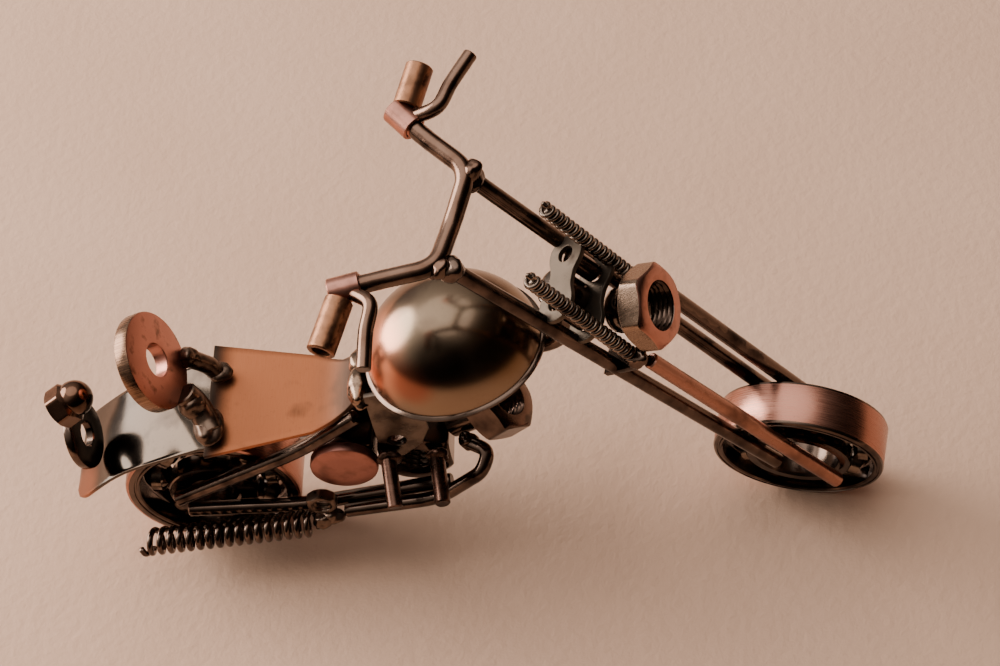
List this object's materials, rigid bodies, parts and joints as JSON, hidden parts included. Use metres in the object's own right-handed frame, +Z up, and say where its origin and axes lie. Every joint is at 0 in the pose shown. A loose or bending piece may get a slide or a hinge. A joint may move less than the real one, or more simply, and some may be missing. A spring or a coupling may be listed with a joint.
{
  "type": "scrap metal chopper motorcycle",
  "caption": "Chopper motorcycle sculpture welded from bearings, bent rod, nuts, washers and coil springs, with turning wheels and a raked steering fork.",
  "frame": {"origin": "middle of the bounding box on the ground plane that both wheels stand on", "axes": "+X forward towards the front wheel, +Y to the motorcycle's left, +Z up; the exhaust is on the -Y side"},
  "size_m": [0.1588, 0.057, 0.1023],
  "materials": {
    "copper": "satin copper plate",
    "nickel": "polished dark nickel plate",
    "bronze": "polished brown antique plate",
    "steel": "satin bare steel"
  },
  "bodies": {
    "frame": {"rear_inner_race": "nickel", "head_tube": "nickel", "backbone": "nickel", "rear_strut_right": "nickel", "rear_strut_left": "nickel", "frame_rail_right": "nickel", "frame_rail_left": "nickel", "engine_cover_right": "copper", "engine_cover_left": "copper", "peg_rear_right": "copper", "peg_rear_left": "copper", "peg_front_right": "copper", "peg_front_left": "copper", "engine_ear_right": "steel", "engine_ear_left": "steel", "crankcase": "nickel", "gearbox": "nickel", "cylinder_front": "nickel", "cylinder_front_nut": "copper", "cylinder_rear": "nickel", "cylinder_rear_nut": "nickel", "exhaust_pipe": "nickel", "exhaust_spring": "nickel", "exhaust_ring_nut": "bronze", "exhaust_weld": "bronze", "fuel_tank": "bronze", "tank_post": "nickel", "seat": "copper", "rear_fender": "nickel", "backrest_washer": "copper", "backrest_post_right": "bronze", "backrest_post_left": "bronze", "taillight_washer": "nickel", "taillight_nut": "bronze"},
    "rear_wheel": {"rear_tyre": "copper"},
    "rear_cage": {"rear_ball_cage": "nickel"},
    "fork": {"handlebar": "bronze", "bar_sleeve_right": "copper", "bar_sleeve_left": "copper", "grip_right": "bronze", "grip_left": "bronze", "lever_right": "bronze", "lever_left": "bronze", "fork_leg_rear_right": "nickel", "fork_leg_rear_left": "nickel", "fork_leg_front_right": "copper", "fork_leg_front_left": "copper", "fork_spring_right": "nickel", "fork_spring_left": "nickel", "clamp_roller_right": "nickel", "clamp_roller_left": "nickel", "clamp_plate_top": "steel", "clamp_plate_bottom": "steel", "steering_stem": "nickel", "headlight_nut": "copper", "headlight_collar": "nickel", "headlight_bracket": "nickel", "front_inner_race": "nickel"},
    "front_wheel": {"front_tyre": "copper"},
    "front_cage": {"front_ball_cage": "nickel"}
  },
  "joints": [
    {"name": "rear_wheel_spin", "type": "hinge", "parent": "frame", "child": "rear_wheel", "pos_m": [-0.05382, -0.00154, 0.01745], "axis": [0, 1, 0], "continuous": true},
    {"name": "rear_cage_spin", "type": "hinge", "parent": "frame", "child": "rear_cage", "pos_m": [-0.05382, -0.00154, 0.01745], "axis": [0, 1, 0], "continuous": true},
    {"name": "steering", "type": "hinge", "parent": "frame", "child": "fork", "pos_m": [0.06012, -0.00154, 0.01524], "axis": [-0.5821, 0, 0.8131], "range_deg": [-15.3, 44.7]},
    {"name": "front_wheel_spin", "type": "hinge", "parent": "fork", "child": "front_wheel", "pos_m": [0.06248, -0.00231, 0.01693], "axis": [0.2063, 0.9673, 0.1477], "continuous": true},
    {"name": "front_cage_spin", "type": "hinge", "parent": "fork", "child": "front_cage", "pos_m": [0.06248, -0.00231, 0.01693], "axis": [0.2063, 0.9673, 0.1477], "continuous": true}
  ],
  "couplings": [
    {"joint": "rear_cage_spin", "follows": "rear_wheel_spin", "ratio": 0.6277},
    {"joint": "front_cage_spin", "follows": "front_wheel_spin", "ratio": 0.5911}
  ]
}
